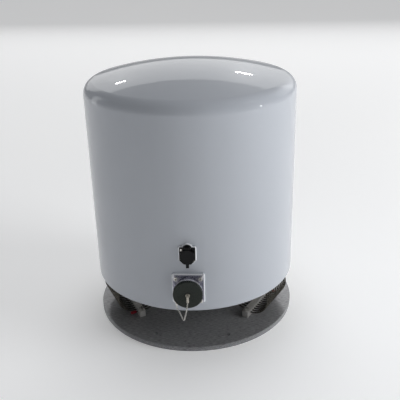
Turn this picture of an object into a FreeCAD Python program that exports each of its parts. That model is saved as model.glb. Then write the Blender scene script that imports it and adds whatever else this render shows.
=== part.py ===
"""Stabilised tracking antenna under a white radome, on wire rope isolators and a round base plate.

Frame: origin at the centre of the base plate's underside, +Z up, the connectors face -Y. Millimetres.
Azimuths are in degrees from the front (-Y), positive towards +X.
"""
import FreeCAD, Part
import math
import os

V = FreeCAD.Vector
os.makedirs("parts", exist_ok=True)

# ---------------------------------------------------------------- driving dimensions
RADOME_D = 370.0            # outside diameter of the radome
RADOME_WALL = 3.5
WALL_HEIGHT = 338.0         # straight wall, from the rim to the knuckle
KNUCKLE_R = 22.5
CROWN_R = 640.0

PLATE_OVERHANG = 1.0        # base plate beyond the radome, all round
PLATE_T = 9.0
MOUNT_X = 130.0             # hole to hole
MOUNT_Y = 295.0
MOUNT_HOLE_R = 3.5

ISO_AZIMUTH = {"left": -62.0, "right": 62.0, "rear": 180.0}
ISO_INSET = 57.0            # radome outside radius to the isolators' centre line
ISO_SHIFT = {"left": -19.0, "right": 19.0, "rear": 0.0}    # along the bar, towards +azimuth
BAR_W, BAR_H = 12.0, 12.0
BAR_END = 12.5              # bar beyond its outermost rope
ROPE_R = 1.5
ROPE_TURNS = 12
ROPE_PITCH = 7.25
ROPE_HOLE_GAP = 0.12
ROPE_STUB = 12.0            # capped rope end beyond the lower bar
ROPE_TAIL = 1.0             # other rope end beyond it
END_CAP_R, END_CAP_L = 2.7, 10.0
GAP_UNDER_RIM = 75.0        # base plate to radome rim
BAR_BOLT_R = 2.5
BAR_BOLT_INSET = 6.0        # bolt centre from the bar's end

PAN_RECESS = 2.0            # underside of the pan above the rim
PAN_T = 4.0
PAN_SIDE_GAP = 0.4
PAN_SEAL_T = 1.0
RING_W, RING_H = 11.0, 12.0
RING_BOND_GAP = 0.1
RADOME_SCREWS = 12
SCREW_CLEAR = 0.3           # radial clearance of a screw in a plain hole
THREAD_GAP = 0.02           # screw in its own thread

POWER_OVER_RING = 3.7       # power connector's rear barrel above the bonded ring
DATA_ABOVE_POWER = 64.1
PAD_PROUD = 0.7             # flat pads moulded on the wall
PAD_MARGIN = 2.6
SEAL_T = 1.6
SEAL_MARGIN = 2.0
SEAL_CHAMFER = 1.3          # round the seals' front edge
FLANGE_T = 3.2
FLANGE_EDGE = 4.75          # screw centre to the edge of the square flange
FLANGE_HEAD_R = 3.1
FLANGE_HEAD_CLEAR = 2.1     # screw head to the collar
BARREL_BORE, BARREL_WALL, BARREL_L = 19.0, 3.2, 15.0
REAR_WALL = 2.8             # of the barrel behind the flange
CAP_WALL, CAP_GAP = 2.2, 0.2
COLLAR_L = 11.6             # bright coupling ring behind the cap
COLLAR_STEP = 0.6           # its radius is this much less than the cap's
COLLAR_GROOVE = 1.2
CAP_FACE = 18.5             # cap's front face beyond the flange's front face
KNURLS = 48
KNURL_R = 0.65
KNURL_INSET = 1.1           # grips stop short of both edges
DATA_W, DATA_H = 26.0, 25.2
DATA_T = 2.8
DATA_ARCH_W, DATA_ARCH_H = 15.0, 5.3
DATA_SLOPE_DROP = 10.0      # below its centre the plate's lower corners start to slope, at 45 degrees
DATA_CHIN_DROP = 17.0       # plate's lower edge below its centre
DATA_SCREW_X, DATA_SCREW_Z = 9.8, 9.6    # screws, from the connector's centre
COVER_R, COVER_T, COVER_GAP = 11.6, 5.0, 0.4
COVER_TAB_W, COVER_TAB_DROP = 5.2, 22.0  # finger tab, and its end below the centre
HINGE_R = 1.0
ANCHOR_T = 0.8              # chain's ring terminal
SWIVEL_R = 2.2
FERRULE_R, FERRULE_L = 2.2, 11.0
CHAIN_R = 1.2

AZ_TEETH, EL_TEETH, PINION_TEETH = 96, 80, 16
GEAR_MODULE = 1.0
GEAR_BACKLASH = 0.16
GEAR_W = 6.0
RUN_GAP = 0.06              # radial gap of a running fit
COLUMN_R, COLUMN_H = 36.0, 38.0
BEARING_OUT_R, BEARING_MID_R, BEARING_IN_R, BEARING_W = 30.0, 26.0, 21.0, 12.0
SLIP_R, SLIP_CORE_R = 11.8, 6.0
TABLE_R, TABLE_T = 62.0, 6.0
TABLE_ABOVE_PAN = 44.0
ARM_X, ARM_T, ARM_W = 70.0, 6.0, 36.0
CHEEK_X, CHEEK_T = 58.0, 5.0
EL_SHAFT_R = 6.0
SWING_CLEAR = 13.0          # dish rim to radome, at every elevation
DISH_BACK = 45.0            # elevation axis to the dish's vertex
DISH_RIM = 94.0             # elevation axis to the plane of the dish's rim
DISH_T = 2.0
FEED_R = 8.0
FEED_REACH = 40.0           # feed tube in front of the vertex
SUB_REACH = 82.0            # sub-reflector in front of the vertex
SUB_R = 22.0
BEARING_SEAT_R = 10.0       # elevation bearings, outside

# ---------------------------------------------------------------- places worked out from them
RADOME_R = RADOME_D / 2
INNER_R = RADOME_R - RADOME_WALL
RIM_Z = PLATE_T + GAP_UNDER_RIM
TANGENT_Z = RIM_Z + WALL_HEIGHT
PAN_Z = RIM_Z + PAN_RECESS
PAN_TOP = PAN_Z + PAN_T
PAN_R = INNER_R - PAN_SIDE_GAP
ISO_R = RADOME_R - ISO_INSET
BAR_L = ROPE_TURNS * ROPE_PITCH + 2 * BAR_END
BARREL_R = BARREL_BORE + BARREL_WALL
CAP_R = BARREL_R + CAP_GAP + CAP_WALL
COLLAR_R = CAP_R - COLLAR_STEP
FLANGE_SCREWS = round(math.sqrt(2) * (COLLAR_R + FLANGE_HEAD_R + FLANGE_HEAD_CLEAR), 1)    # screw to screw
FLANGE = FLANGE_SCREWS + 2 * FLANGE_EDGE
REAR_R = BARREL_BORE + REAR_WALL
POWER_Z = PAN_TOP + PAN_SEAL_T + RING_H + REAR_R + POWER_OVER_RING
DATA_Z = POWER_Z + DATA_ABOVE_POWER
PAD_Y = -(RADOME_R + PAD_PROUD)
FLANGE_BACK = PAD_Y - SEAL_T
FLANGE_Y = FLANGE_BACK - FLANGE_T
CAP_Y = FLANGE_Y - CAP_FACE


def crown_apex(inset):
    """Height of the crown, for the profile moved inwards by inset."""
    knuckle_x = RADOME_R - KNUCKLE_R
    centre_z = TANGENT_Z - math.sqrt((CROWN_R - KNUCKLE_R) ** 2 - knuckle_x ** 2)
    return centre_z, centre_z + CROWN_R - inset


EL_Z = (PAN_TOP + crown_apex(RADOME_WALL)[1]) / 2 - 4.0
SWING_R = min(INNER_R, crown_apex(RADOME_WALL)[1] - EL_Z) - SWING_CLEAR
DISH_R = math.sqrt(SWING_R ** 2 - DISH_RIM ** 2)
FOCAL = DISH_R ** 2 / (4 * (DISH_RIM - DISH_BACK))
TABLE_Z = PAN_TOP + TABLE_ABOVE_PAN
AZ_CENTRES = GEAR_MODULE * (AZ_TEETH + PINION_TEETH) / 2
EL_CENTRES = GEAR_MODULE * (EL_TEETH + PINION_TEETH) / 2
EL_GEAR_X = CHEEK_X + CHEEK_T / 2 + 0.4

# ---------------------------------------------------------------- routes of the free leads and the chain
CHAIN_ROUTE = [
    (-20.65, -192.0, 98.0),
    (-20.2, -192.5, 93.5),
    (-18.2, -193.8, 89.6),
    (-15.4, -196.0, 86.6),
    (-12.6, -199.0, 82.4),
    (-10.4, -202.2, 78.6),
    (-8.6, -205.6, 78.0),
    (-7.0, -208.6, 81.0),
    (-5.4, -211.0, 88.5),
    (-3.4, -213.0, 98.0),
    (-1.4, -214.2, 108.5),
    (0.0, -214.5, 118.3),
]
POWER_LEAD = [
    (0, -147.5, 128.5), (0, -137, 128.5), (2, -127, 122), (8, -119, 109), (22, -110, 98), (48, -96, 95),
    (75, -70, 94.5), (90, -30, 94.2), (93, 12, 94.2), (84, 50, 95), (68, 78, 98), (57, 91.5, 100.5),
    (45, 91.5, 100.5),
]
DATA_LEAD = [
    (0, -172.5, 183.8), (0, -172.5, 177), (-10, -171.8, 170), (-22, -169.6, 161), (-30, -166, 148),
    (-33, -162, 132), (-38, -155, 114), (-50, -142, 99), (-73, -118, 94), (-94, -78, 93), (-104, -30, 92.7),
    (-102, 20, 92.7), (-88, 62, 94), (-68, 84, 97.5), (-57, 91.5, 99.5), (-45, 91.5, 99.5),
]


# ---------------------------------------------------------------- helpers
def box(x0, x1, y0, y1, z0, z1):
    return Part.makeBox(x1 - x0, y1 - y0, z1 - z0, V(x0, y0, z0))


def rod(start, end, radius):
    """Cylinder from start to end."""
    axis = end - start
    return Part.makeCylinder(radius, axis.Length, start, axis)


def post(radius, z0, z1, x=0.0, y=0.0):
    return rod(V(x, y, z0), V(x, y, z1), radius)


def tube(outer, inner, z0, z1, x=0.0, y=0.0):
    return post(outer, z0, z1, x, y).cut(post(inner, z0 - 1, z1 + 1, x, y))


def facing(radius, y_back, y_front, x=0.0, z=0.0):
    """Cylinder along -Y."""
    return rod(V(x, y_back, z), V(x, y_front, z), radius)


def square_plate(width, height, y_back, y_front, z, corner):
    """Plate in the XZ plane with rounded corners."""
    plate = box(-width / 2, width / 2, y_front, y_back, z - height / 2, z + height / 2)
    upright = [e for e in plate.Edges if abs(e.BoundBox.YLength - (y_back - y_front)) < 1e-6]
    return plate.makeFillet(corner, upright)


def front_chamfered(plate, y_front):
    """The plate with a sloped edge all round its front face."""
    front = [e for e in plate.Edges if abs(e.BoundBox.YMin - y_front) < 1e-6 and e.BoundBox.YLength < 1e-6]
    return plate.makeChamfer(SEAL_CHAMFER, front)


def turned(shape, azimuth):
    copy = shape.copy()
    copy.rotate(V(0, 0, 0), V(0, 0, 1), azimuth)
    return copy


def moved(shape, x=0.0, y=0.0, z=0.0):
    copy = shape.copy()
    copy.translate(V(x, y, z))
    return copy


def joined(first, *others):
    return first.fuse(list(others)).removeSplitter()


def drilled(shape, *holes):
    for hole in holes:
        shape = shape.cut(hole)
    return shape


def save(name, *shapes):
    """Write one sub-part; several shapes become separate solids of one node."""
    solids = [solid for shape in shapes for solid in shape.Solids]
    whole = solids[0] if len(solids) == 1 else Part.Compound(solids)
    whole.exportStep(f"parts/{name}.step")


def revolve_z(points):
    """Solid of revolution about Z from an (r, z) outline of lines."""
    corners = [V(r, 0, z) for r, z in points]
    outline = Part.makePolygon(corners + [corners[0]])
    return Part.Face(outline).revolve(V(0, 0, 0), V(0, 0, 1), 360)


def spur_gear(teeth, width, bore):
    """Spur gear along +Z from the origin, with one tooth centred on +X."""
    pressure = math.radians(20)
    pitch_r = GEAR_MODULE * teeth / 2
    base_r = pitch_r * math.cos(pressure)
    tip_r = pitch_r + GEAR_MODULE
    root_r = pitch_r - 1.25 * GEAR_MODULE
    pitch_half = math.pi / (2 * teeth) - GEAR_BACKLASH / (2 * pitch_r)

    def half_angle(radius):
        angle = math.acos(min(1.0, base_r / radius))
        return pitch_half + (math.tan(pressure) - pressure) - (math.tan(angle) - angle)

    flank_start = max(root_r, base_r)
    flank = [flank_start + (tip_r - flank_start) * i / 4 for i in range(5)]
    if base_r > root_r:
        flank.insert(0, root_r)
    points = []
    for tooth in range(teeth):
        middle = 2 * math.pi * tooth / teeth
        rising = [(r, middle - half_angle(r)) for r in flank]
        falling = [(r, middle + half_angle(r)) for r in reversed(flank)]
        points += [V(r * math.cos(a), r * math.sin(a), 0) for r, a in rising + falling]
    blank = Part.Face(Part.makePolygon(points + [points[0]])).extrude(V(0, 0, width))
    return blank.cut(Part.makeCylinder(bore, width + 2, V(0, 0, -1)))


def rounded_path(points):
    """Wire of straight runs joined by tangent arcs; also prints each arc's radius."""
    edges = []
    radii = []
    start = points[0]
    for before, corner, after in zip(points, points[1:], points[2:]):
        back, ahead = (before - corner), (after - corner)
        setback = 0.45 * min(back.Length, ahead.Length)
        half_turn = (math.pi - back.getAngle(ahead)) / 2
        radii.append(setback / math.tan(half_turn))
        back.normalize()
        ahead.normalize()
        enter, leave = corner + back * setback, corner + ahead * setback
        bisector = back + ahead
        bisector.normalize()
        centre_distance = math.hypot(setback, radii[-1])
        middle = corner + bisector * (centre_distance - radii[-1])
        edges.append(Part.LineSegment(start, enter).toShape())
        edges.append(Part.Arc(enter, middle, leave).toShape())
        start = leave
    edges.append(Part.LineSegment(start, points[-1]).toShape())
    return Part.Wire(edges), radii


def pipe(wire, radius, start, direction):
    """Solid of a round section along a wire."""
    section = Part.Face(Part.Wire(Part.makeCircle(radius, start, direction)))
    return wire.makePipe(section)


def cable(name, points, radius):
    points = [V(*p) for p in points]
    wire, radii = rounded_path(points)
    solid = pipe(wire, radius, points[0], points[1] - points[0])
    expected = math.pi * radius ** 2 * wire.Length
    print(f"{name}: length {wire.Length:.1f}, radii {[round(r, 1) for r in radii]},",
          f"volume ratio {solid.Volume / expected:.4f}")
    save(name, solid)


# ---------------------------------------------------------------- base plate and isolators
def placed(shape, side):
    """Something made for an isolator centred at the front, moved to its own side."""
    return turned(moved(shape, ISO_SHIFT[side]), ISO_AZIMUTH[side])


def bolt_places():
    reach = BAR_L / 2 - BAR_BOLT_INSET
    return [placed(Part.Vertex(x, -ISO_R, 0), side).Point for side in ISO_AZIMUTH for x in (-reach, reach)]


def base_plate():
    radius = RADOME_R + PLATE_OVERHANG
    plate = post(radius, 0, PLATE_T)
    rims = [e for e in plate.Edges if isinstance(e.Curve, Part.Circle)]
    plate = plate.makeChamfer(0.8, rims)
    mounts = [post(MOUNT_HOLE_R, -1, PLATE_T + 1, sx * MOUNT_X / 2, sy * MOUNT_Y / 2)
              for sx in (-1, 1) for sy in (-1, 1)]
    threads = [post(BAR_BOLT_R + THREAD_GAP, -1, PLATE_T + 1, p.x, p.y) for p in bolt_places()]
    save("base_plate", drilled(plate, *mounts, *threads))


def lower_bar_bolts():
    """Socket-head screws through the lower bars into the plate."""
    top = PLATE_T + BAR_H
    bolts = []
    for p in bolt_places():
        head = post(BAR_BOLT_R * 1.7, top, top + BAR_BOLT_R * 1.8, p.x, p.y)
        socket = post(BAR_BOLT_R * 0.8, top + 2, top + 9, p.x, p.y)
        shank = post(BAR_BOLT_R, 1, top + 0.5, p.x, p.y)
        bolts.append(joined(head, shank).cut(socket))
    save("lower_bar_bolts", *bolts)


def upper_bar_bolts():
    bolts = []
    for p in bolt_places():
        head = post(BAR_BOLT_R * 1.7, PAN_TOP, PAN_TOP + BAR_BOLT_R * 1.8, p.x, p.y)
        socket = post(BAR_BOLT_R * 0.8, PAN_TOP + 2, PAN_TOP + 9, p.x, p.y)
        shank = post(BAR_BOLT_R, PAN_Z - BAR_H * 0.7, PAN_TOP + 0.5, p.x, p.y)
        bolts.append(joined(head, shank).cut(socket))
    save("upper_bar_bolts", *bolts)


def isolator_bar(name, side, z0, hole_places, bolt_gap):
    """One clamp bar with holes for the rope and for its two bolts."""
    bar = box(-BAR_L / 2, BAR_L / 2, -ISO_R - BAR_W / 2, -ISO_R + BAR_W / 2, z0, z0 + BAR_H)
    upright = [e for e in bar.Edges if abs(e.BoundBox.ZLength - BAR_H) < 1e-6]
    bar = bar.makeFillet(1.0, upright)
    rope_z = z0 + BAR_H / 2
    holes = [rod(V(x, -ISO_R - BAR_W, rope_z), V(x, -ISO_R + BAR_W, rope_z), ROPE_R + ROPE_HOLE_GAP)
             for x in hole_places]
    reach = BAR_L / 2 - BAR_BOLT_INSET
    holes += [post(BAR_BOLT_R + bolt_gap, z0 - 1, z0 + BAR_H + 1, x, -ISO_R) for x in (-reach, reach)]
    save(name, placed(drilled(bar, *holes), side))


def rope_places():
    """Where the rope crosses the lower bar and the upper bar, along the bar."""
    first = -ROPE_TURNS * ROPE_PITCH / 2
    lower = [first + i * ROPE_PITCH for i in range(ROPE_TURNS + 1)]
    upper = [x + ROPE_PITCH / 2 for x in lower[:-1]]
    return lower, upper


def wire_rope(name, side):
    """The rope winds through both bars: straight inside a bar, a half circle between them."""
    lower, upper = rope_places()
    low_z = PLATE_T + BAR_H / 2
    high_z = PAN_Z - BAR_H / 2
    outer, inner = -ISO_R - BAR_W / 2, -ISO_R + BAR_W / 2
    edges = [Part.LineSegment(V(lower[0], inner + ROPE_TAIL, low_z), V(lower[0], outer, low_z)).toShape()]
    for i, x_high in enumerate(upper):
        x_low, x_next = lower[i], lower[i + 1]
        radius = math.hypot(high_z - low_z, ROPE_PITCH / 2) / 2
        mid_z = (low_z + high_z) / 2
        rise = Part.Arc(V(x_low, outer, low_z), V((x_low + x_high) / 2, outer - radius, mid_z),
                        V(x_high, outer, high_z))
        across = Part.LineSegment(V(x_high, outer, high_z), V(x_high, inner, high_z))
        fall = Part.Arc(V(x_high, inner, high_z), V((x_high + x_next) / 2, inner + radius, mid_z),
                        V(x_next, inner, low_z))
        end = outer if i < ROPE_TURNS - 1 else outer - ROPE_STUB
        back = Part.LineSegment(V(x_next, inner, low_z), V(x_next, end, low_z))
        edges += [part.toShape() for part in (rise, across, fall, back)]
    solid = pipe(Part.Wire(edges), ROPE_R, V(lower[0], inner + ROPE_TAIL, low_z), V(0, -1, 0))
    save(name, placed(solid, side))


def rope_end_caps():
    """A plastic cap over the end of each rope that runs out of its lower bar."""
    lower, _ = rope_places()
    x, y, z = lower[-1], -ISO_R - BAR_W / 2 - ROPE_STUB, PLATE_T + BAR_H / 2
    shell = rod(V(x, y - 1.0, z), V(x, y - 1.0 + END_CAP_L, z), END_CAP_R)
    bore = rod(V(x, y, z), V(x, y + END_CAP_L, z), ROPE_R + THREAD_GAP)
    save("rope_end_caps", *[placed(shell.cut(bore), side) for side in ISO_AZIMUTH])


# ---------------------------------------------------------------- pan and radome
def ring_screw_places():
    radius = INNER_R - RING_W / 2
    step = 2 * math.pi / RADOME_SCREWS
    return [(radius * math.sin((i + 0.5) * step), -radius * math.cos((i + 0.5) * step))
            for i in range(RADOME_SCREWS)]


def pan():
    floor = post(PAN_R, PAN_Z, PAN_TOP)
    holes = [post(BAR_BOLT_R + SCREW_CLEAR, PAN_Z - 1, PAN_TOP + 1, p.x, p.y) for p in bolt_places()]
    holes += [post(2 + SCREW_CLEAR, PAN_Z - 1, PAN_TOP + 1, x, y) for x, y in ring_screw_places()]
    save("pan", drilled(floor, *holes))


def radome_seat():
    """Seal, bonded ring and the screws that hold the radome down."""
    outer = INNER_R - RING_BOND_GAP
    seal_top = PAN_TOP + PAN_SEAL_T
    places = ring_screw_places()
    seal = tube(PAN_R, INNER_R - RING_W, PAN_TOP, seal_top)
    holes = [post(2 + SCREW_CLEAR, PAN_TOP - 1, seal_top + 1, x, y) for x, y in places]
    save("pan_seal", drilled(seal, *holes))
    ring = tube(outer, INNER_R - RING_W, seal_top, seal_top + RING_H)
    threads = [post(2 + THREAD_GAP, seal_top - 1, seal_top + RING_H * 0.8, x, y) for x, y in places]
    save("radome_ring", drilled(ring, *threads))
    screws = []
    for x, y in places:
        head = post(3.5, PAN_Z - PAN_RECESS, PAN_Z, x, y)
        socket = post(1.5, PAN_Z - PAN_RECESS - 1, PAN_Z - 0.6, x, y)
        shank = post(2, PAN_Z - 0.5, seal_top + RING_H * 0.7, x, y)
        screws.append(joined(head, shank).cut(socket))
    save("radome_screws", *screws)


def dome_profile(inset):
    """Closed half outline of the dome's solid, moved inwards by inset, from the rim to the axis."""
    centre_z, apex = crown_apex(inset)
    side = RADOME_R - inset
    knuckle_x = RADOME_R - KNUCKLE_R
    knuckle_r = KNUCKLE_R - inset
    crown_r = CROWN_R - inset
    meet = math.atan2(TANGENT_Z - centre_z, knuckle_x)
    bend = meet / 2
    knuckle_end = V(knuckle_x + knuckle_r * math.cos(meet), 0, TANGENT_Z + knuckle_r * math.sin(meet))
    knuckle_mid = V(knuckle_x + knuckle_r * math.cos(bend), 0, TANGENT_Z + knuckle_r * math.sin(bend))
    crown_bend = (meet + math.pi / 2) / 2
    crown_mid = V(crown_r * math.cos(crown_bend), 0, centre_z + crown_r * math.sin(crown_bend))
    bottom = RIM_Z - (1.0 if inset else 0.0)
    edges = [
        Part.LineSegment(V(0, 0, bottom), V(side, 0, bottom)),
        Part.LineSegment(V(side, 0, bottom), V(side, 0, TANGENT_Z)),
        Part.Arc(V(side, 0, TANGENT_Z), knuckle_mid, knuckle_end),
        Part.Arc(knuckle_end, crown_mid, V(0, 0, apex)),
        Part.LineSegment(V(0, 0, apex), V(0, 0, bottom)),
    ]
    return Part.Face(Part.Wire([e.toShape() for e in edges])).revolve(V(0, 0, 0), V(0, 0, 1), 360)


def data_outline(margin, y_back, y_front):
    """The data connector's plate: sloped lower corners, and an arched top for the cover's hinge."""
    corner = margin * (math.sqrt(2) - 1)
    side, top = DATA_W / 2 + margin, DATA_Z + DATA_H / 2 + margin
    shoulder = DATA_Z - DATA_SLOPE_DROP - corner
    chin = DATA_Z - DATA_CHIN_DROP - margin
    chin_x = DATA_W / 2 - (DATA_CHIN_DROP - DATA_SLOPE_DROP) + corner
    corners = [V(side, y_front, top), V(side, y_front, shoulder), V(chin_x, y_front, chin),
               V(-chin_x, y_front, chin), V(-side, y_front, shoulder), V(-side, y_front, top)]
    depth = V(0, y_back - y_front, 0)
    base = Part.Face(Part.makePolygon(corners + [corners[0]])).extrude(depth)
    upright = [e for e in base.Edges if abs(e.BoundBox.YLength - depth.y) < 1e-6]
    base = base.makeFillet(1.5 + margin, upright)
    arch_r = DATA_ARCH_W / 2 + margin
    arch_z = DATA_Z + DATA_H / 2 + DATA_ARCH_H + margin - arch_r
    arch = facing(arch_r, y_back, y_front, 0, arch_z)
    neck = box(-arch_r, arch_r, y_front, y_back, DATA_Z, arch_z)
    return joined(base, arch, neck)


def radome():
    shell = dome_profile(0).cut(dome_profile(RADOME_WALL))
    inside = post(INNER_R, RIM_Z - 5, TANGENT_Z)
    pad_size = FLANGE + 2 * PAD_MARGIN
    power_pad = square_plate(pad_size, pad_size, -RADOME_R + 6, PAD_Y, POWER_Z, 4).cut(inside)
    data_pad = data_outline(PAD_MARGIN, -RADOME_R + 4, PAD_Y).cut(inside)
    shell = joined(shell, power_pad, data_pad)
    cuts = [facing(BARREL_BORE + 3.4, -RADOME_R + 12, PAD_Y - 1, 0, POWER_Z)]
    cuts.append(square_plate(18.6, 18.6, -RADOME_R + 12, PAD_Y - 1, DATA_Z, 1))
    cuts += [facing(1.6 + SCREW_CLEAR, -RADOME_R + 12, PAD_Y - 1, x, z) for x, z in power_screw_places()]
    cuts += [facing(1.2 + SCREW_CLEAR, -RADOME_R + 12, PAD_Y - 1, x, z) for x, z in data_screw_places()]
    save("radome", drilled(shell, *cuts))


# ---------------------------------------------------------------- power connector and its cap
def power_screw_places():
    half = FLANGE_SCREWS / 2
    return [(sx * half, POWER_Z + sz * half) for sx in (-1, 1) for sz in (-1, 1)]


def power_connector():
    clear = 1.6 + SCREW_CLEAR
    seal_w = FLANGE + 2 * SEAL_MARGIN
    seal = front_chamfered(square_plate(seal_w, seal_w, PAD_Y, FLANGE_BACK, POWER_Z, 3), FLANGE_BACK)
    seal = seal.cut(facing(REAR_R + 0.3, PAD_Y + 1, FLANGE_BACK - 1, 0, POWER_Z))
    holes = [facing(clear, PAD_Y + 1, FLANGE_Y - 1, x, z) for x, z in power_screw_places()]
    save("power_seal", drilled(seal, *holes))

    flange = square_plate(FLANGE, FLANGE, FLANGE_BACK, FLANGE_Y, POWER_Z, 3)
    collar = facing(COLLAR_R, FLANGE_Y, FLANGE_Y - COLLAR_L, 0, POWER_Z)
    groove_y = FLANGE_Y - COLLAR_L / 2
    groove = facing(COLLAR_R + 1, groove_y + COLLAR_GROOVE / 2, groove_y - COLLAR_GROOVE / 2, 0, POWER_Z)
    groove = groove.cut(facing(COLLAR_R - COLLAR_GROOVE / 2, groove_y + 2, groove_y - 2, 0, POWER_Z))
    collar = collar.cut(groove)
    barrel = facing(BARREL_R, FLANGE_Y, FLANGE_Y - BARREL_L, 0, POWER_Z)
    rear = facing(REAR_R, FLANGE_BACK, -INNER_R + 12, 0, POWER_Z)
    shell = joined(flange, collar, barrel, rear)
    bore = facing(BARREL_BORE, -INNER_R + 14, FLANGE_Y - BARREL_L - 1, 0, POWER_Z)
    save("power_connector_shell", drilled(shell, bore, *holes))

    face_y = FLANGE_Y - 3.5
    insert = facing(BARREL_BORE - 0.05, -INNER_R + 11, face_y, 0, POWER_Z)
    pins = []
    for ring_r, count in ((0.0, 1), (6.8, 6), (13.2, 12)):
        for i in range(count):
            a = 2 * math.pi * i / count
            x, z = ring_r * math.sin(a), POWER_Z + ring_r * math.cos(a)
            pins.append(facing(1.2, face_y + 8, face_y - 5.5, x, z))
    save("power_insert", drilled(insert, *pins))
    save("power_contacts", *pins)

    screws = []
    for x, z in power_screw_places():
        head_back = FLANGE_Y - ANCHOR_T if (x < 0 and z < POWER_Z) else FLANGE_Y
        head = facing(FLANGE_HEAD_R, head_back, head_back - 3.2, x, z)
        socket = facing(1.35, head_back - 1.2, head_back - 5, x, z)
        shank = facing(1.6, -INNER_R + 6, head_back - 0.5, x, z)
        screws.append(joined(head, shank).cut(socket))
    save("power_screws", *screws)

    shell_back = -INNER_R + 12
    nut = facing(REAR_R + 2.4, shell_back + 14, shell_back, 0, POWER_Z)
    gland = facing(9, shell_back + 22, shell_back + 13, 0, POWER_Z)
    hollow = facing(REAR_R - 2.4, shell_back + 11, shell_back - 1, 0, POWER_Z)
    save("power_backshell", joined(nut, gland).cut(hollow))



def chain_anchor():
    """Ring terminal under the lower left flange screw, with a crimp barrel that points down."""
    x, z = -FLANGE_SCREWS / 2, POWER_Z - FLANGE_SCREWS / 2
    eye = facing(4.2, FLANGE_Y, FLANGE_Y - ANCHOR_T, x, z).cut(facing(1.65, FLANGE_Y + 1, FLANGE_Y - 3, x, z))
    neck = box(x - 1.4, x + 1.4, FLANGE_Y - ANCHOR_T, FLANGE_Y, z - 6.5, z - 3)
    barrel = rod(V(x, FLANGE_Y - 1.5, z - 5), V(x, FLANGE_Y - 1.5, z - 9.5), 1.7)
    save("chain_anchor", joined(eye, neck, barrel))


def dust_cap():
    back = FLANGE_Y - COLLAR_L - 0.4
    cap = facing(CAP_R, back, CAP_Y, 0, POWER_Z)
    front = [e for e in cap.Edges if isinstance(e.Curve, Part.Circle)
             and abs(e.BoundBox.YMax - CAP_Y) < 1e-6]
    cap = cap.makeChamfer(0.8, front)
    bore = facing(BARREL_R + CAP_GAP, back + 1, CAP_Y + CAP_WALL, 0, POWER_Z)
    eye = facing(SWIVEL_R + RUN_GAP, back, CAP_Y - 1, 0, POWER_Z)
    grips = []
    for i in range(KNURLS):
        a = 2 * math.pi * i / KNURLS
        x, z = (CAP_R + 0.45) * math.sin(a), POWER_Z + (CAP_R + 0.45) * math.cos(a)
        grips.append(facing(KNURL_R, back - KNURL_INSET, CAP_Y + KNURL_INSET, x, z))
    save("dust_cap", drilled(cap, bore, eye, Part.Compound(grips)))
    seal = facing(BARREL_R, CAP_Y + CAP_WALL + 0.8, CAP_Y + CAP_WALL, 0, POWER_Z)
    save("cap_seal", seal.cut(facing(BARREL_BORE - 2, back, CAP_Y - 1, 0, POWER_Z)))


def cap_swivel():
    """Rivet through the cap's middle, which turns in it, with the ferrule that grips the chain."""
    keeper = facing(SWIVEL_R + 2, CAP_Y + CAP_WALL + 1.6, CAP_Y + CAP_WALL + 0.1, 0, POWER_Z)
    rivet = facing(SWIVEL_R, CAP_Y + CAP_WALL + 0.5, CAP_Y - 1.0, 0, POWER_Z)
    head = facing(SWIVEL_R + 1.4, CAP_Y - 0.1, CAP_Y - 1.6, 0, POWER_Z)
    lug = box(-1.2, 1.2, CAP_Y - 6.2, CAP_Y - 1.0, POWER_Z - 2.5, POWER_Z + 2.5)
    ferrule_y = CAP_Y - 5.5
    ferrule = rod(V(0, ferrule_y, POWER_Z + 1), V(0, ferrule_y, POWER_Z + 1 - FERRULE_L), FERRULE_R)
    save("cap_swivel", joined(keeper, rivet, head, lug, ferrule))


# ---------------------------------------------------------------- data connector and its cover
def data_screw_places():
    return [(-DATA_SCREW_X, DATA_Z + DATA_SCREW_Z), (DATA_SCREW_X, DATA_Z - DATA_SCREW_Z)]


def data_connector():
    back = PAD_Y - SEAL_T
    front = back - DATA_T
    holes = [facing(1.2 + SCREW_CLEAR, PAD_Y + 1, front - 1, x, z) for x, z in data_screw_places()]
    window = square_plate(18.2, 18.2, PAD_Y + 1, back - 1, DATA_Z, 1)
    seal = front_chamfered(data_outline(SEAL_MARGIN, PAD_Y, back), back)
    save("data_seal", drilled(seal, window, *holes))

    hinge_y, hinge_z = data_hinge(front)
    plate = data_outline(0, back, front)
    rear = square_plate(17.6, 17.6, -INNER_R + 12, back, DATA_Z, 1)
    ears = [box(sx * 5.0 - 1.2, sx * 5.0 + 1.2, hinge_y - 2.2, front + 0.5, hinge_z - 2.2, hinge_z + 2.2)
            for sx in (-1, 1)]
    body = joined(plate, rear, *ears)
    socket = box(-6.0, 6.0, front - 1, front + 12.6, DATA_Z - 4.2, DATA_Z + 3.6)
    pin_hole = rod(V(-8, hinge_y, hinge_z), V(8, hinge_y, hinge_z), HINGE_R + THREAD_GAP)
    save("data_connector_body", drilled(body, socket, pin_hole, *holes))

    save("data_hinge_pin", rod(V(-6.4, hinge_y, hinge_z), V(6.4, hinge_y, hinge_z), HINGE_R))

    screws = []
    for x, z in data_screw_places():
        head = facing(2.0, front, front - 0.35, x, z)
        shank = facing(1.2, -INNER_R + 5, front - 0.1, x, z)
        screws.append(joined(head, shank))
    save("data_screws", *screws)


def data_hinge(front):
    return front - 2.6, DATA_Z + DATA_H / 2 + 2.2


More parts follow.
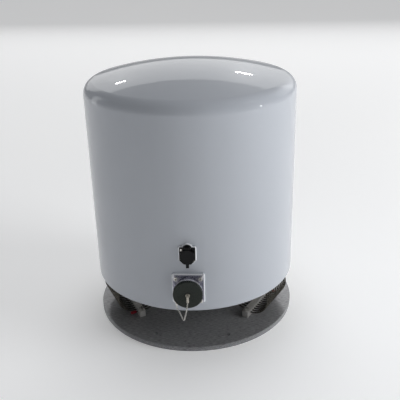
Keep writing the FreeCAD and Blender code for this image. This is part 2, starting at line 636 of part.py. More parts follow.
def data_cover():
    """Round cover with a finger tab below, hung from the pin above."""
    front = PAD_Y - SEAL_T - DATA_T
    hinge_y, hinge_z = data_hinge(front)
    back_y = front - COVER_GAP
    face_y = back_y - COVER_T
    disc = facing(COVER_R, back_y, face_y, 0, DATA_Z)
    wing = COVER_R * math.sin(math.radians(45))
    tab = COVER_TAB_W / 2
    below = [V(-COVER_R, 0, DATA_Z), V(-COVER_R, 0, DATA_Z - wing), V(-tab, 0, DATA_Z - COVER_R - 4.4),
             V(-tab, 0, DATA_Z - COVER_TAB_DROP)]
    slope = below + [V(-p.x, 0, p.z) for p in reversed(below)]
    outline = Part.Face(Part.makePolygon(slope + [slope[0]]))
    chin = moved(outline.extrude(V(0, -COVER_T * 0.6, 0)), y=back_y)
    knuckle = rod(V(-3.6, hinge_y, hinge_z), V(3.6, hinge_y, hinge_z), 2.0)
    web = box(-3.6, 3.6, hinge_y - 1.6, hinge_y + 1.6, DATA_Z + 6, hinge_z)
    cover = joined(disc, chin, knuckle, web)
    pin_bore = rod(V(-9, hinge_y, hinge_z), V(9, hinge_y, hinge_z), HINGE_R + RUN_GAP)
    recess = facing(COVER_R - 2.2, back_y + 1, back_y - 1.4, 0, DATA_Z)
    save("data_cover", drilled(cover, pin_bore, recess))


# ---------------------------------------------------------------- fixed parts inside
def pedestal():
    """Column with a shoulder under the azimuth bearing."""
    top = PAN_TOP + COLUMN_H
    seat = top - BEARING_W
    flange = post(COLUMN_R + 4, PAN_TOP, PAN_TOP + 5)
    column = joined(flange, post(COLUMN_R, PAN_TOP, top))
    bore = post(BEARING_MID_R, PAN_TOP - 1, seat)
    pocket = post(BEARING_OUT_R + THREAD_GAP, seat, top + 1)
    save("pedestal", drilled(column, bore, pocket))
    save("azimuth_bearing_outer", tube(BEARING_OUT_R, BEARING_MID_R, seat, seat + BEARING_W))
    return seat


def azimuth_motor():
    """Gear motor on the pan, with a bore for the pinion's shaft."""
    x = -AZ_CENTRES
    body = post(15, PAN_TOP, PAN_TOP + 26, x)
    nose = post(7, PAN_TOP + 25, PAN_TOP + 33, x)
    base = box(x - 14, x + 14, -19, 19, PAN_TOP, PAN_TOP + 3)
    bore = post(2.5 + RUN_GAP, PAN_TOP + 16, PAN_TOP + 40, x)
    save("azimuth_motor", joined(body, nose, base).cut(bore))
    gear = spur_gear(PINION_TEETH, GEAR_W + 1, 2.4)
    gear.rotate(V(0, 0, 0), V(0, 0, 1), 180.0 / PINION_TEETH)
    gear = moved(gear, x, 0, TABLE_Z - GEAR_W - 1)
    shaft = post(2.5, PAN_TOP + 16.3, TABLE_Z - 0.5, x)
    save("azimuth_pinion", joined(gear, shaft))


def power_unit():
    y_back = ISO_R - 16
    case = box(-45, 45, y_back - 42, y_back, PAN_TOP, PAN_TOP + 22)
    upright = [e for e in case.Edges if abs(e.BoundBox.ZLength - 22) < 1e-6]
    save("power_unit", case.makeFillet(3, upright))
    return y_back


# ---------------------------------------------------------------- turntable
def turntable(seat):
    hub_r = BEARING_IN_R - THREAD_GAP
    hub = post(hub_r, seat - 3, TABLE_Z + 1)
    table = post(TABLE_R, TABLE_Z, TABLE_Z + TABLE_T)
    bore = post(SLIP_R + THREAD_GAP, seat - 5, TABLE_Z + TABLE_T + 1)
    save("turntable", joined(table, hub).cut(bore))
    inner_r = BEARING_MID_R - RUN_GAP
    save("azimuth_bearing_inner", tube(inner_r, BEARING_IN_R, seat, seat + BEARING_W))
    gear = moved(spur_gear(AZ_TEETH, GEAR_W, COLUMN_R + 4), 0, 0, TABLE_Z - GEAR_W)
    save("azimuth_gear", gear)
    rotor = tube(SLIP_R, SLIP_CORE_R + RUN_GAP, seat - 2, TABLE_Z + TABLE_T + 4)
    save("slip_ring_rotor", rotor)
    save("slip_ring_stator", post(SLIP_CORE_R, PAN_TOP, TABLE_Z + TABLE_T + 2))


def yoke():
    floor = TABLE_Z + TABLE_T
    base = box(-ARM_X - ARM_T / 2, ARM_X + ARM_T / 2, -ARM_W / 2, ARM_W / 2, floor, floor + 6)
    base = base.cut(post(SLIP_R + 2, floor - 1, floor + 7))
    shaft_bore = rod(V(-ARM_X - 9, 0, EL_Z), V(ARM_X + 9, 0, EL_Z), BEARING_SEAT_R + THREAD_GAP)
    arms = []
    for side in (-1, 1):
        x0 = side * ARM_X - ARM_T / 2
        arm = box(x0, x0 + ARM_T, -ARM_W / 2, ARM_W / 2, floor + 5, EL_Z)
        eye = rod(V(x0, 0, EL_Z), V(x0 + ARM_T, 0, EL_Z), ARM_W / 2)
        arms.append(joined(arm, eye))
    motor_hole = rod(V(ARM_X - 9, 0, EL_Z - EL_CENTRES), V(ARM_X + 9, 0, EL_Z - EL_CENTRES), 4)
    save("yoke", drilled(joined(base, *arms), shaft_bore, motor_hole))
    bearings = []
    for side in (-1, 1):
        x0 = side * ARM_X - ARM_T / 2
        ring = rod(V(x0, 0, EL_Z), V(x0 + ARM_T, 0, EL_Z), BEARING_SEAT_R)
        bearings.append(ring.cut(rod(V(x0 - 1, 0, EL_Z), V(x0 + ARM_T + 1, 0, EL_Z), EL_SHAFT_R + RUN_GAP)))
    save("elevation_bearings", *bearings)


def elevation_motor():
    z = EL_Z - EL_CENTRES
    out = ARM_X + ARM_T / 2
    body = rod(V(out, 0, z), V(out + 26, 0, z), 12)
    boss = rod(V(out + 25, 0, z), V(out + 30, 0, z), 5)
    bore = rod(V(out - 1, 0, z), V(out + 15, 0, z), 2.5 + RUN_GAP)
    save("elevation_motor", joined(body, boss).cut(bore))
    gear = spur_gear(PINION_TEETH, GEAR_W - 1, 2.4)
    gear.rotate(V(0, 0, 0), V(0, 0, 1), 180.0 / PINION_TEETH)
    gear.rotate(V(0, 0, 0), V(0, 1, 0), 90)
    gear = moved(gear, EL_GEAR_X, 0, z)
    shaft = rod(V(EL_GEAR_X + 0.3, 0, z), V(out + 14, 0, z), 2.5)
    save("elevation_pinion", joined(gear, shaft))


def control_unit():
    floor = TABLE_Z + TABLE_T
    case = box(-28, 28, ARM_W / 2 + 2, ARM_W / 2 + 34, floor, floor + 30)
    save("control_unit", case.makeFillet(2, [e for e in case.Edges if abs(e.BoundBox.ZLength - 30) < 1e-6]))


# ---------------------------------------------------------------- dish, at rest looking along -Y
def bowl(offset, rim_y):
    """Solid of a paraboloid about -Y with its vertex offset from the dish's back, up to rim_y."""
    steps = 14
    vertex_y = -DISH_BACK + offset
    reach = math.sqrt(4 * FOCAL * (vertex_y - rim_y))
    across = [reach * i / steps for i in range(steps + 1)]
    curve = [V(x, vertex_y - x ** 2 / (4 * FOCAL), 0) for x in across]
    spline = Part.BSplineCurve()
    spline.interpolate(curve)
    lid = Part.LineSegment(curve[-1], V(0, rim_y, 0))
    axis = Part.LineSegment(V(0, rim_y, 0), curve[0])
    face = Part.Face(Part.Wire([spline.toShape(), lid.toShape(), axis.toShape()]))
    return moved(face.revolve(V(0, 0, 0), V(0, 1, 0), 360), z=EL_Z)


def reflector():
    front, back = bowl(0, -DISH_RIM), bowl(DISH_T, -DISH_RIM)
    dish = back.cut(front).cut(facing(FEED_R + 0.4, 0, -DISH_RIM, 0, EL_Z))
    save("reflector", dish)
    return dish


def dish_bracket():
    plate_back = -DISH_BACK + 9
    plate = box(-CHEEK_X, CHEEK_X, plate_back - 4, plate_back, EL_Z - 26, EL_Z + 26)
    hub = facing(30, plate_back - 3, -DISH_BACK - 1, 0, EL_Z).cut(bowl(DISH_T + 0.05, -DISH_RIM))
    cheeks = []
    for side in (-1, 1):
        x0 = side * CHEEK_X - CHEEK_T / 2
        cheeks.append(box(x0, x0 + CHEEK_T, plate_back - 4, 30, EL_Z - 14, EL_Z + 14))
    rear = box(-CHEEK_X, CHEEK_X, 25, 30, EL_Z - 10, EL_Z + 10)
    shaft_bore = rod(V(-ARM_X, 0, EL_Z), V(ARM_X, 0, EL_Z), EL_SHAFT_R + THREAD_GAP)
    feed_bore = facing(FEED_R + RUN_GAP, 20, -DISH_BACK - 5, 0, EL_Z)
    save("dish_bracket", drilled(joined(plate, hub, *cheeks, rear), shaft_bore, feed_bore))
    shafts = []
    for side in (-1, 1):
        inner, outer = side * (CHEEK_X - CHEEK_T / 2 - 2), side * (ARM_X + ARM_T / 2 + 2)
        shafts.append(rod(V(inner, 0, EL_Z), V(outer, 0, EL_Z), EL_SHAFT_R))
    save("elevation_shafts", *shafts)
    gear = spur_gear(EL_TEETH, GEAR_W - 2, EL_SHAFT_R + THREAD_GAP)
    gear.rotate(V(0, 0, 0), V(0, 1, 0), 90)
    save("elevation_gear", moved(gear, EL_GEAR_X + 0.5, 0, EL_Z))
    save("counterweight", box(-40, 40, 30, 44, EL_Z - 12, EL_Z + 12))


def feed():
    """Feed tube and transceiver, which turn together for polarisation."""
    back = -DISH_BACK + 11
    horn_y = -DISH_BACK - FEED_REACH
    tube_part = facing(FEED_R, back, horn_y, 0, EL_Z)
    cone = Part.makeCone(FEED_R, FEED_R + 5, 12, V(0, horn_y, EL_Z), V(0, -1, 0))
    horn = joined(tube_part, cone)
    mouth = Part.makeCone(FEED_R - 1.5, FEED_R + 3.5, 12.1, V(0, horn_y, EL_Z), V(0, -1, 0))
    guide = facing(FEED_R - 1.5, back + 1, horn_y - 0.5, 0, EL_Z)
    save("feed_horn", drilled(horn, mouth, guide))
    save("transceiver", box(-32, 32, back, 16, EL_Z - 20, EL_Z + 20))


def sub_reflector(dish):
    sub_y = -DISH_BACK - SUB_REACH
    disc = facing(SUB_R, sub_y, sub_y - 2.5, 0, EL_Z)
    cone = Part.makeCone(2, SUB_R - 4, 5, V(0, sub_y + 4.9, EL_Z), V(0, -1, 0))
    save("sub_reflector", joined(disc, cone))
    foot_r = DISH_R * 0.62
    foot_y = -DISH_BACK - foot_r ** 2 / (4 * FOCAL)
    struts = []
    for i in range(3):
        a = 2 * math.pi * i / 3
        direction = V(math.sin(a), 0, math.cos(a))
        foot = V(0, foot_y + 0.5, EL_Z) + direction * foot_r
        tip = V(0, sub_y - 1.2, EL_Z) + direction * (SUB_R + 1.3)
        struts.append(rod(foot, tip, 1.5).cut(dish))
    save("sub_reflector_struts", *struts)


def main():
    base_plate()
    lower_bar_bolts()
    upper_bar_bolts()
    lower, upper = rope_places()
    for side in ISO_AZIMUTH:
        isolator_bar(f"lower_bar_{side}", side, PLATE_T, lower, SCREW_CLEAR)
        isolator_bar(f"upper_bar_{side}", side, PAN_Z - BAR_H, upper, THREAD_GAP)
        wire_rope(f"wire_rope_{side}", side)
    rope_end_caps()
    pan()
    radome_seat()
    radome()
    power_connector()
    chain_anchor()
    dust_cap()
    cap_swivel()
    cable("cap_chain", CHAIN_ROUTE, CHAIN_R)
    data_connector()
    data_cover()
    seat = pedestal()
    azimuth_motor()
    power_unit()
    turntable(seat)
    yoke()
    elevation_motor()
    control_unit()
    dish = reflector()
    dish_bracket()
    feed()
    sub_reflector(dish)
    cable("power_lead", POWER_LEAD, 3.5)
    cable("data_lead", DATA_LEAD, 2.5)


main()
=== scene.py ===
"""Looks of a stabilised tracking antenna: white radome on wire rope isolators and a round base plate.

Metres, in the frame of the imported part: +Z up, the connectors face -Y.
"""
import math

import bmesh
import bpy
from mathutils import Matrix, Vector


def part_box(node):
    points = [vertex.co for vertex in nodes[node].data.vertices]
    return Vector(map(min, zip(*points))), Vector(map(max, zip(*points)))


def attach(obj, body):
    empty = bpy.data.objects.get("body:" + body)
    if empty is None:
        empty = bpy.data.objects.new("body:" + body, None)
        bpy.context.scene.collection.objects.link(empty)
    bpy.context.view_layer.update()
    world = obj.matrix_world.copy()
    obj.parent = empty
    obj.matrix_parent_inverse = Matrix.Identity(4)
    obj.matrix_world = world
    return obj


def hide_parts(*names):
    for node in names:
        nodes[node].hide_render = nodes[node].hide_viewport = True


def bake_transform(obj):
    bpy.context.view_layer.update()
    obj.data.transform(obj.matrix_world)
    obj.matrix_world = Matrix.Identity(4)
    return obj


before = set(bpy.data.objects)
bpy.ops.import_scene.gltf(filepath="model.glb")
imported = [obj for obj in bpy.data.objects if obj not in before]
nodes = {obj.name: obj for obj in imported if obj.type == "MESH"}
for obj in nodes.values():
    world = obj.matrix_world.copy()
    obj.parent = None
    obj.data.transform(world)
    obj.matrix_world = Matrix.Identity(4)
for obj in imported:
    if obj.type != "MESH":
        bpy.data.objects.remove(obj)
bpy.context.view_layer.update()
MM = 0.001
TAU = 2 * math.pi

# ---------------------------------------------------------------- sizes and places, from the frame
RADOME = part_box("radome")
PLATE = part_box("base_plate")
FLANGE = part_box("power_connector_shell")
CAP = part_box("dust_cap")
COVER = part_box("data_cover")
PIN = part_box("data_hinge_pin")

RADOME_R = RADOME[1].x
PLATE_TOP = PLATE[1].z
POWER_Z = (FLANGE[0].z + FLANGE[1].z) / 2
CAP_R = (CAP[1].x - CAP[0].x) / 2
CAP_FACE_Y, CAP_BACK_Y = CAP[0].y, CAP[1].y

# wire rope isolators: the rope winds through a lower and an upper clamp bar
ISO_AZIMUTH = {"left": -62.0, "right": 62.0, "rear": 180.0}
ISO_SHIFT = {"left": -19 * MM, "right": 19 * MM, "rear": 0.0}
ISO_R = 128 * MM
BAR_W, BAR_H = 12 * MM, 12 * MM
ROPE_R = 1.5 * MM
ROPE_TURNS = 12
ROPE_PITCH = 7.25 * MM
ROPE_STUB, ROPE_TAIL = 12 * MM, 1 * MM    # capped end, and the other, beyond the lower bar
LOW_Z = PLATE_TOP + BAR_H / 2
HIGH_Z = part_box("pan")[0].z - BAR_H / 2

# the cap's bead chain: points listed from the ring terminal to the ferrule, in millimetres
CHAIN_ROUTE = [
    (-20.65, -192.0, 98.0), (-20.2, -192.5, 93.5), (-18.2, -193.8, 89.6), (-15.4, -196.0, 86.6),
    (-12.6, -199.0, 82.4), (-10.4, -202.2, 78.6), (-8.6, -205.6, 78.0), (-7.0, -208.6, 81.0),
    (-5.4, -211.0, 88.5), (-3.4, -213.0, 98.0), (-1.4, -214.2, 108.5), (0.0, -214.5, 118.3),
]
BEAD_R = 1.2 * MM
BEAD_STEP = 3.0 * MM
LINK_R = 0.5 * MM


# ---------------------------------------------------------------- camera
def photo_camera():
    """The photograph's viewpoint: 1.1 m in front, looking 23.5 degrees down."""
    place = Vector((0.07466, -1.08557, 0.68032))
    forward = Vector((-0.05272, 0.91552, -0.39879))
    right = Vector((0.99860, 0.04696, -0.02421))
    up = Vector((0.00343, 0.39951, 0.91672))
    data = bpy.data.cameras.new("photo_camera")
    data.sensor_width = 36.0
    data.lens = 56.63
    data.clip_end = 60.0
    camera = bpy.data.objects.new("photo_camera", data)
    turn = Matrix((right, up, -forward)).transposed().to_4x4()
    camera.matrix_world = Matrix.Translation(place) @ turn
    bpy.context.scene.collection.objects.link(camera)
    bpy.context.scene.camera = camera


photo_camera()


# ---------------------------------------------------------------- materials
def noise(tree, vector, scale, detail=3.0, rough=0.5, stretch=(1.0, 1.0, 1.0)):
    if stretch != (1.0, 1.0, 1.0):
        mapping = tree.nodes.new("ShaderNodeMapping")
        mapping.inputs["Scale"].default_value = stretch
        tree.links.new(vector, mapping.inputs["Vector"])
        vector = mapping.outputs["Vector"]
    node = tree.nodes.new("ShaderNodeTexNoise")
    node.inputs["Scale"].default_value = scale
    node.inputs["Detail"].default_value = detail
    node.inputs["Roughness"].default_value = rough
    tree.links.new(vector, node.inputs["Vector"])
    return node.outputs["Fac"]


def remap(tree, value, low, high, to_low, to_high):
    node = tree.nodes.new("ShaderNodeMapRange")
    for name, number in (("From Min", low), ("From Max", high), ("To Min", to_low), ("To Max", to_high)):
        node.inputs[name].default_value = number
    tree.links.new(value, node.inputs["Value"])
    return node.outputs["Result"]


def mixed(tree, factor, first, second):
    """Colour between two, each a colour or a socket."""
    node = tree.nodes.new("ShaderNodeMix")
    node.data_type = "RGBA"
    tree.links.new(factor, node.inputs[0])
    for socket, value in ((node.inputs[6], first), (node.inputs[7], second)):
        if isinstance(value, bpy.types.NodeSocket):
            tree.links.new(value, socket)
        else:
            socket.default_value = (*value, 1.0)
    return node.outputs[2]


def product(tree, first, second):
    node = tree.nodes.new("ShaderNodeMath")
    node.operation = "MULTIPLY"
    for socket, value in zip(node.inputs, (first, second)):
        if isinstance(value, bpy.types.NodeSocket):
            tree.links.new(value, socket)
        else:
            socket.default_value = value
    return node.outputs[0]


def surface(name, colour, shade, rough, metallic=0.0, patch=22.0, rough_spread=0.06, grain=900.0,
            grain_height=0.02 * MM, ripple=0.0, ripple_height=0.0, stretch=(1.0, 1.0, 1.0), worn=None,
            worn_from=0.56, edge=None, coat=0.0, coat_rough=0.05, specular=0.5, sheen=0.0):
    """A procedural finish.

    The colour drifts towards shade in patches, the roughness drifts with a finer noise, the surface has a grain
    (and a broader ripple where the finish has one), wears to worn in spots and turns to edge along convex edges:
    worn edges on most finishes, and on the plate partly a painted highlight along the rim.
    """
    material = bpy.data.materials.new(name)
    material.use_nodes = True
    material.diffuse_color = (*colour, 1.0)
    tree = material.node_tree
    shader = tree.nodes["Principled BSDF"]
    place = tree.nodes.new("ShaderNodeTexCoord").outputs["Object"]

    tone = mixed(tree, remap(tree, noise(tree, place, patch, 4.0), 0.35, 0.65, 0.0, 1.0), colour, shade)
    fine = noise(tree, place, grain, 2.0, 0.6, stretch)
    tone = mixed(tree, remap(tree, fine, 0.3, 0.7, 0.0, 0.35), tone, shade)
    roughness = remap(tree, noise(tree, place, patch * 5, 5.0), 0.3, 0.7, rough - rough_spread, rough + rough_spread)
    if worn:
        spots = remap(tree, noise(tree, place, patch * 3, 8.0, 0.65), worn_from, worn_from + 0.12, 0.0, 0.8)
        tone = mixed(tree, spots, tone, worn)
    if edge:
        geometry = tree.nodes.new("ShaderNodeNewGeometry")
        convex = remap(tree, geometry.outputs["Pointiness"], 0.515, 0.56, 0.0, 1.0)
        tone = mixed(tree, product(tree, convex, remap(tree, fine, 0.3, 0.6, 0.3, 1.0)), tone, edge)
    tree.links.new(tone, shader.inputs["Base Color"])
    tree.links.new(roughness, shader.inputs["Roughness"])

    bump = tree.nodes.new("ShaderNodeBump")
    bump.inputs["Strength"].default_value = 1.0
    bump.inputs["Distance"].default_value = grain_height
    tree.links.new(fine, bump.inputs["Height"])
    normal = bump.outputs["Normal"]
    if ripple:
        broad = tree.nodes.new("ShaderNodeBump")
        broad.inputs["Strength"].default_value = 1.0
        broad.inputs["Distance"].default_value = ripple_height
        tree.links.new(noise(tree, place, ripple, 2.0), broad.inputs["Height"])
        tree.links.new(normal, broad.inputs["Normal"])
        normal = broad.outputs["Normal"]
    tree.links.new(normal, shader.inputs["Normal"])

    shader.inputs["Metallic"].default_value = metallic
    shader.inputs["Specular IOR Level"].default_value = specular
    shader.inputs["Coat Weight"].default_value = coat
    shader.inputs["Coat Roughness"].default_value = coat_rough
    if coat:
        tree.links.new(normal, shader.inputs["Coat Normal"])
    shader.inputs["Sheen Weight"].default_value = sheen
    return material


BARE_STEEL = (0.46, 0.46, 0.45)
FINISHES = {
    # glossy gel coat, faintly blue, with a slow waviness from the mould
    "white_gloss": surface("radome_gelcoat", (0.530, 0.556, 0.602), (0.508, 0.534, 0.580), 0.36, patch=2.5,
                           rough_spread=0.03, grain=30, grain_height=0.01 * MM, stretch=(1.0, 1.0, 0.05), ripple=14, ripple_height=0.12 * MM,
                           coat=0.6, coat_rough=0.02, specular=0.25),
    # dark brushed grey, darkened further as painted shade for the radome's shadow over the plate; the pale edge colour
    # is partly bare metal on the rim and partly a painted highlight where the rim catches light
    "plate_paint": surface("plate_brushed_grey_painted_shade_and_rim_highlight", (0.032, 0.032, 0.034), (0.029, 0.029, 0.031), 0.32, metallic=0.4,
                           patch=3.5, rough_spread=0.03, grain=1100, grain_height=0.002 * MM, stretch=(0.12, 1.0, 1.0),
                           edge=(0.46, 0.46, 0.47), specular=0.3),
    "bar_metal": surface("bar_aluminium", (0.50, 0.47, 0.44), (0.38, 0.36, 0.335), 0.40, metallic=0.45, patch=60,
                         grain=700, stretch=(1.0, 1.0, 6.0), worn=(0.28, 0.26, 0.245), worn_from=0.6,
                         edge=(0.72, 0.70, 0.67)),
    "rope_steel": surface("rope_steel_wires", (0.145, 0.132, 0.110), (0.065, 0.058, 0.047), 0.26, metallic=0.55,
                          patch=120, grain=2600, grain_height=0.01 * MM, worn=(0.03, 0.027, 0.022),
                          worn_from=0.62),
    "stainless": surface("stainless_parts", (0.50, 0.48, 0.44), (0.36, 0.345, 0.31), 0.27, metallic=0.75,
                         patch=240, grain=2600, grain_height=0.008 * MM, worn=(0.22, 0.20, 0.17), worn_from=0.6,
                         edge=(0.80, 0.78, 0.74)),
    "ferrule_brown": surface("tarnished_ferrule", (0.17, 0.14, 0.105), (0.09, 0.075, 0.055), 0.30, metallic=0.7,
                             patch=260, grain=2600, grain_height=0.008 * MM, edge=(0.55, 0.52, 0.46)),
    "red_plastic": surface("red_end_caps", (0.36, 0.010, 0.022), (0.28, 0.008, 0.016), 0.38, patch=160,
                           grain=1900, grain_height=0.015 * MM),
    # the pan is coloured near-black as painted shade for the deep shadow under the radome; the lighter spots are wear
    "pan_paint": surface("pan_black_painted_shade", (0.020, 0.021, 0.023), (0.014, 0.015, 0.017), 0.55, patch=20,
                         grain=1700, worn=(0.05, 0.05, 0.05), worn_from=0.66),
    "ring_metal": surface("ring_alloy", (0.50, 0.51, 0.52), (0.41, 0.42, 0.43), 0.36, metallic=1.0, patch=40,
                          grain=1300),
    "seal_white": surface("white_gasket", (0.93, 0.94, 0.96), (0.90, 0.91, 0.94), 0.35, patch=90, grain=1500,
                          grain_height=0.01 * MM, coat=0.6, coat_rough=0.15),
    "seal_black": surface("black_gasket", (0.012, 0.012, 0.013), (0.020, 0.020, 0.021), 0.62, patch=90,
                          grain=1500, grain_height=0.02 * MM, specular=0.3),
    # silver nickel flange coloured a darker blue-purple grey, deeper still in its shade colour: a painted reflection,
    # as the plating looks in shade; the pale spots and edges are wear
    "nickel": surface("flange_nickel_painted_purple_reflection", (0.36, 0.355, 0.42), (0.24, 0.24, 0.30), 0.24, metallic=0.7, patch=120,
                      grain=1500, grain_height=0.008 * MM, worn=(0.50, 0.49, 0.50), worn_from=0.62,
                      edge=(0.82, 0.81, 0.84)),
    "cap_olive": surface("cap_olive_finish", (0.0045, 0.0068, 0.0060), (0.0070, 0.0100, 0.0088), 0.42, patch=110,
                         rough_spread=0.08, grain=1700, grain_height=0.02 * MM, worn=(0.020, 0.025, 0.023),
                         worn_from=0.68, edge=(0.05, 0.056, 0.05), specular=0.08),
    "black_plastic": surface("moulded_black", (0.0035, 0.0035, 0.0040), (0.0060, 0.0060, 0.0066), 0.34, patch=150,
                             grain=2200, grain_height=0.018 * MM, specular=0.18),
    "gold": surface("gold_contacts", (0.80, 0.56, 0.22), (0.70, 0.47, 0.17), 0.26, metallic=1.0, patch=200, grain=2600,
                    grain_height=0.006 * MM),
    "cast_metal": surface("cast_alloy", (0.42, 0.43, 0.44), (0.34, 0.35, 0.36), 0.48, 0.9, patch=45, grain=900,
                          grain_height=0.05 * MM, edge=(0.60, 0.60, 0.60)),
    "gear_steel": surface("gear_steel", (0.34, 0.34, 0.35), (0.25, 0.25, 0.26), 0.32, 1.0, patch=90, grain=1500,
                          worn=(0.16, 0.15, 0.14), worn_from=0.62, edge=(0.62, 0.62, 0.62)),
    "bearing_steel": surface("bearing_steel", BARE_STEEL, (0.38, 0.38, 0.38), 0.20, 1.0, patch=110, grain=2400,
                             grain_height=0.006 * MM),
    "motor_black": surface("motor_paint", (0.022, 0.022, 0.024), (0.032, 0.032, 0.034), 0.44, patch=70, grain=1500,
                           grain_height=0.03 * MM, edge=(0.10, 0.10, 0.10)),
    "dish_white": surface("dish_paint", (0.72, 0.73, 0.72), (0.66, 0.67, 0.66), 0.46, patch=30, grain=1600,
                          grain_height=0.015 * MM),
    "case_grey": surface("case_coating", (0.16, 0.165, 0.17), (0.12, 0.125, 0.13), 0.50, patch=60, grain=1100,
                         grain_height=0.05 * MM, edge=(0.34, 0.34, 0.34)),
    "lead_black": surface("lead_sheath", (0.016, 0.016, 0.017), (0.026, 0.026, 0.027), 0.52, patch=140, grain=1900,
                          grain_height=0.02 * MM),
}
OWN_FINISH = {"cap_swivel": "ferrule_brown"}


def finish_nodes():
    """Give every CAD node the finish of its own material slot."""
    for name, node in nodes.items():
        slot = node.data.materials[0].name.split(".")[0]
        node.data.materials.clear()
        node.data.materials.append(FINISHES[OWN_FINISH.get(name, slot)])


finish_nodes()


# ---------------------------------------------------------------- mesh helpers
def new_piece(name, mesh, slot, body=None, replaced=()):
    piece = bpy.data.objects.new(name, mesh)
    bpy.context.scene.collection.objects.link(piece)
    mesh.materials.append(FINISHES[slot])
    if body:
        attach(piece, body)
    if replaced:
        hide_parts(*replaced)
    return piece


def mesh_of(name, bm, smooth_below=None):
    """Finish a bmesh: outward normals, and smooth shading except over edges sharper than smooth_below degrees."""
    bmesh.ops.recalc_face_normals(bm, faces=bm.faces)
    mesh = bpy.data.meshes.new(name)
    bm.to_mesh(mesh)
    bm.free()
    mesh.shade_smooth()
    if smooth_below:
        mesh.set_sharp_from_angle(angle=math.radians(smooth_below))
    return mesh


def smooth_line(name, points, steps=12):
    """Points along the NURBS spline that has these control points."""
    curve = bpy.data.curves.new(name, "CURVE")
    curve.dimensions = "3D"
    spline = curve.splines.new("NURBS")
    spline.points.add(len(points) - 1)
    for slot, point in zip(spline.points, points):
        slot.co = (*point, 1.0)
    spline.order_u = 3
    spline.use_endpoint_u = True
    spline.resolution_u = steps
    holder = bpy.data.objects.new(name, curve)
    mesh = bpy.data.meshes.new_from_object(holder)
    line = [vertex.co.copy() for vertex in mesh.vertices]
    bpy.data.objects.remove(holder)
    bpy.data.curves.remove(curve)
    bpy.data.meshes.remove(mesh)
    return line


def resampled(line, step):
    """The same line with points a step apart."""
    lengths = [0.0]
    for a, b in zip(line, line[1:]):
        lengths.append(lengths[-1] + (b - a).length)
    count = max(2, round(lengths[-1] / step))
    points, i = [], 0
    for k in range(count + 1):
        wanted = lengths[-1] * k / count
        while i < len(line) - 2 and lengths[i + 1] < wanted:
            i += 1
        share = (wanted - lengths[i]) / max(lengths[i + 1] - lengths[i], 1e-12)
        points.append(line[i].lerp(line[i + 1], min(max(share, 0.0), 1.0)))
    return points, lengths[-1]


def frames_along(line):
    """(point, tangent, normal, binormal) at each point, with a normal that doesn't twist."""
    found = []
    normal = None
    for i, point in enumerate(line):
        tangent = (line[min(i + 1, len(line) - 1)] - line[max(i - 1, 0)]).normalized()
        if normal is None:
            normal = tangent.orthogonal().normalized()
        normal = (normal - tangent * normal.dot(tangent)).normalized()
        found.append((point, tangent, normal, tangent.cross(normal)))
    return found


def add_tube(bm, along, radii, sides):
    """A closed tube through frames, with a radius at each."""
    rings = []
    for (point, _, normal, side), radius in zip(along, radii):
        rings.append([bm.verts.new(point + radius * (math.cos(TAU * k / sides) * normal
                                                     + math.sin(TAU * k / sides) * side)) for k in range(sides)])
    for a, b in zip(rings, rings[1:]):
        for k in range(sides):
            bm.faces.new((a[k], a[(k + 1) % sides], b[(k + 1) % sides], b[k]))
    bm.faces.new(list(reversed(rings[0])))
    bm.faces.new(rings[-1])


def lathe(bm, profile, centre, sides, axis_y=True, shape=None):
    """Turn an (r, depth) outline round -Y (or +Z); shape(angle, r, i) may change the radius of point i."""
    rings = []
    for i, (radius, depth) in enumerate(profile):
        ring = []
        for k in range(sides):
            angle = TAU * k / sides
            r = shape(angle, radius, i) if shape else radius
            if axis_y:
                place = Vector((r * math.sin(angle), depth, r * math.cos(angle)))
            else:
                place = Vector((r * math.cos(angle), r * math.sin(angle), depth))
            ring.append(bm.verts.new(centre + place))
        rings.append(ring)
    for a, b in zip(rings, rings[1:]):
        for k in range(sides):
            bm.faces.new((a[k], a[(k + 1) % sides], b[(k + 1) % sides], b[k]))
    for ring in (rings[0], rings[-1]):
        bm.faces.new(ring)


# ---------------------------------------------------------------- the cap's bead chain
def cap_chain():
    """Ball chain: beads on thin links along the chain's line."""
    line = smooth_line("chain_line", [Vector(p) * MM for p in CHAIN_ROUTE], 16)
    fine, length = resampled(line, 0.5 * MM)
    bm = bmesh.new()
    add_tube(bm, frames_along(fine), [LINK_R] * len(fine), 8)
    beads, _ = resampled(line, BEAD_STEP)
    for point in beads[1:-1]:
        bmesh.ops.create_uvsphere(bm, u_segments=16, v_segments=10, radius=BEAD_R,
                                  matrix=Matrix.Translation(point))
    chain = new_piece("cap_chain_beads", mesh_of("cap_chain_beads", bm), "stainless")
    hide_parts("cap_chain")
    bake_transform(chain)
    print("chain length mm", round(length / MM, 1))


cap_chain()


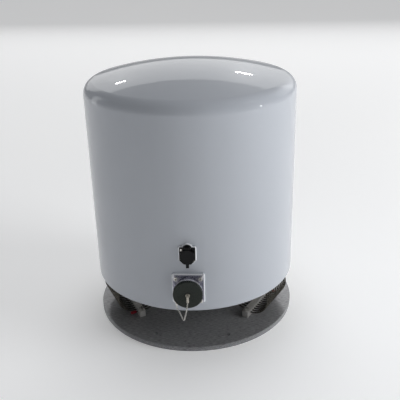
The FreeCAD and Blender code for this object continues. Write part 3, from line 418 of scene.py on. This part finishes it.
# ---------------------------------------------------------------- wire ropes
def rope_line(side):
    """Control points of one isolator's rope: half circles outside the bars, straight through them."""
    lower = [(i - ROPE_TURNS / 2) * ROPE_PITCH for i in range(ROPE_TURNS + 1)]
    outer, inner = -ISO_R - BAR_W / 2, -ISO_R + BAR_W / 2
    middle = (LOW_Z + HIGH_Z) / 2
    radius = (HIGH_Z - LOW_Z) / 2
    steps = 9
    # a quadratic spline runs inside its control points on a circle, so they stand out by this much
    stand_out = 2 / (1 + math.cos(math.pi / steps))

    def half_turn(y, outward, x0, x1, rising):
        points = []
        for k in range(1, steps):
            share = k / steps
            angle = math.pi * share - math.pi / 2
            z = middle + (radius * math.sin(angle) * stand_out) * (1 if rising else -1)
            points.append(Vector((x0 + (x1 - x0) * share, y + outward * radius * math.cos(angle) * stand_out, z)))
        return points

    points = [Vector((lower[0], inner + ROPE_TAIL, LOW_Z)), Vector((lower[0], inner, LOW_Z)),
              Vector((lower[0], outer, LOW_Z))]
    for x_low, x_next in zip(lower, lower[1:]):
        x_high = (x_low + x_next) / 2
        points += half_turn(outer, -1, x_low, x_high, True)
        points += [Vector((x_high, outer, HIGH_Z)), Vector((x_high, inner, HIGH_Z))]
        points += half_turn(inner, 1, x_high, x_next, False)
        points += [Vector((x_next, inner, LOW_Z)), Vector((x_next, outer, LOW_Z))]
    points.append(Vector((lower[-1], outer - ROPE_STUB, LOW_Z)))
    turn = Matrix.Rotation(math.radians(ISO_AZIMUTH[side]), 4, "Z") @ Matrix.Translation((ISO_SHIFT[side], 0, 0))
    return [turn @ point for point in points]


def wire_rope(side):
    """Six strands laid round a core."""
    strands, lay = 6, 16 * MM
    strand_r = ROPE_R / 3
    line, _ = resampled(smooth_line(f"rope_line_{side}", rope_line(side), 6), 1.5 * MM)
    along = frames_along(line)
    bm = bmesh.new()
    add_tube(bm, along, [strand_r] * len(along), 6)
    walked = [0.0]
    for a, b in zip(line, line[1:]):
        walked.append(walked[-1] + (b - a).length)
    for k in range(strands):
        helix = []
        for (point, _, normal, across), s in zip(along, walked):
            angle = TAU * (k / strands + s / lay)
            helix.append(point + 2 * strand_r * (math.cos(angle) * normal + math.sin(angle) * across))
        add_tube(bm, frames_along(helix), [strand_r] * len(helix), 6)
    rope = new_piece(f"rope_strands_{side}", mesh_of(f"rope_strands_{side}", bm), "rope_steel")
    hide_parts(f"wire_rope_{side}")
    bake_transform(rope)


for isolator in ISO_AZIMUTH:
    wire_rope(isolator)


# ---------------------------------------------------------------- light and floor
def add_light(name, data, azimuth, elevation, distance, reflected):
    """Place a light that faces the object; azimuth from the front (-Y) towards +X, in degrees."""
    light = bpy.data.objects.new(name, data)
    a, e = math.radians(azimuth), math.radians(elevation)
    middle = Vector((0, 0, 0.3))
    out = Vector((math.sin(a) * math.cos(e), -math.cos(a) * math.cos(e), math.sin(e)))
    light.location = middle + out * distance
    light.rotation_euler = (-out).to_track_quat("-Z", "Y").to_euler()
    light.visible_camera = False
    light.visible_glossy = reflected
    bpy.context.scene.collection.objects.link(light)


def sun(name, azimuth, elevation, strength, softness):
    """A far light that only fills: gloss doesn't mirror it."""
    data = bpy.data.lights.new(name, "SUN")
    data.energy = strength
    data.angle = math.radians(softness)
    add_light(name, data, azimuth, elevation, 6.0, False)


def softbox(name, azimuth, elevation, distance, width, height, radiance, colour=(1.0, 1.0, 1.0), reflected=True):
    """A rectangular light; its power follows from its radiance."""
    data = bpy.data.lights.new(name, "AREA")
    data.shape = "RECTANGLE"
    data.size, data.size_y = width, height
    data.energy = radiance * math.pi * width * height
    data.color = colour
    add_light(name, data, azimuth, elevation, distance, reflected)


def studio():
    world = bpy.data.worlds.new("studio")
    bpy.context.scene.world = world
    world.use_nodes = True
    world.node_tree.nodes["Background"].inputs["Color"].default_value = (0.93, 0.96, 1.0, 1.0)
    world.node_tree.nodes["Background"].inputs["Strength"].default_value = 0.13
    sun("overhead", 180, 72, 0.75, 34)
    softbox("right_fill", 77, 17, 2.6, 1.3, 1.2, 7.0, (0.97, 0.985, 1.0), reflected=False)
    softbox("back_wall", 178, 20, 3.6, 6.4, 1.7, 0.95)
    softbox("back_right", 130, 20, 3.3, 1.9, 1.6, 0.7)
    softbox("streak_low", 79, 3, 3.2, 0.10, 0.45, 22.0)
    softbox("streak_high", 79, 40, 3.2, 0.10, 0.16, 22.0)
    softbox("left_strip", -112, 10, 2.6, 0.5, 1.6, 1.2)
    softbox("window_right", 171.8, 23.7, 3.1, 0.19, 0.07, 30.0)
    softbox("window_left", -160.0, 25.5, 3.1, 0.12, 0.045, 30.0)

    bm = bmesh.new()
    bmesh.ops.create_circle(bm, cap_ends=True, segments=96, radius=14.0)
    floor = bpy.data.objects.new("floor", mesh_of("floor", bm))
    bpy.context.scene.collection.objects.link(floor)
    # a lit table top: it glows a little, as it would through its opal sheet
    paper = surface("floor_paper", (0.86, 0.86, 0.86), (0.85, 0.85, 0.855), 0.8, patch=1.5, grain=300,
                    grain_height=0.02 * MM, specular=0.1)
    shader = paper.node_tree.nodes["Principled BSDF"]
    shader.inputs["Emission Color"].default_value = (1.0, 1.0, 1.0, 1.0)
    shader.inputs["Emission Strength"].default_value = 0.25
    floor.data.materials.append(paper)
    view = bpy.context.scene.view_settings
    view.view_transform = "Standard"
    view.look = "None"
    view.exposure = 0.0
    view.gamma = 1.0


studio()
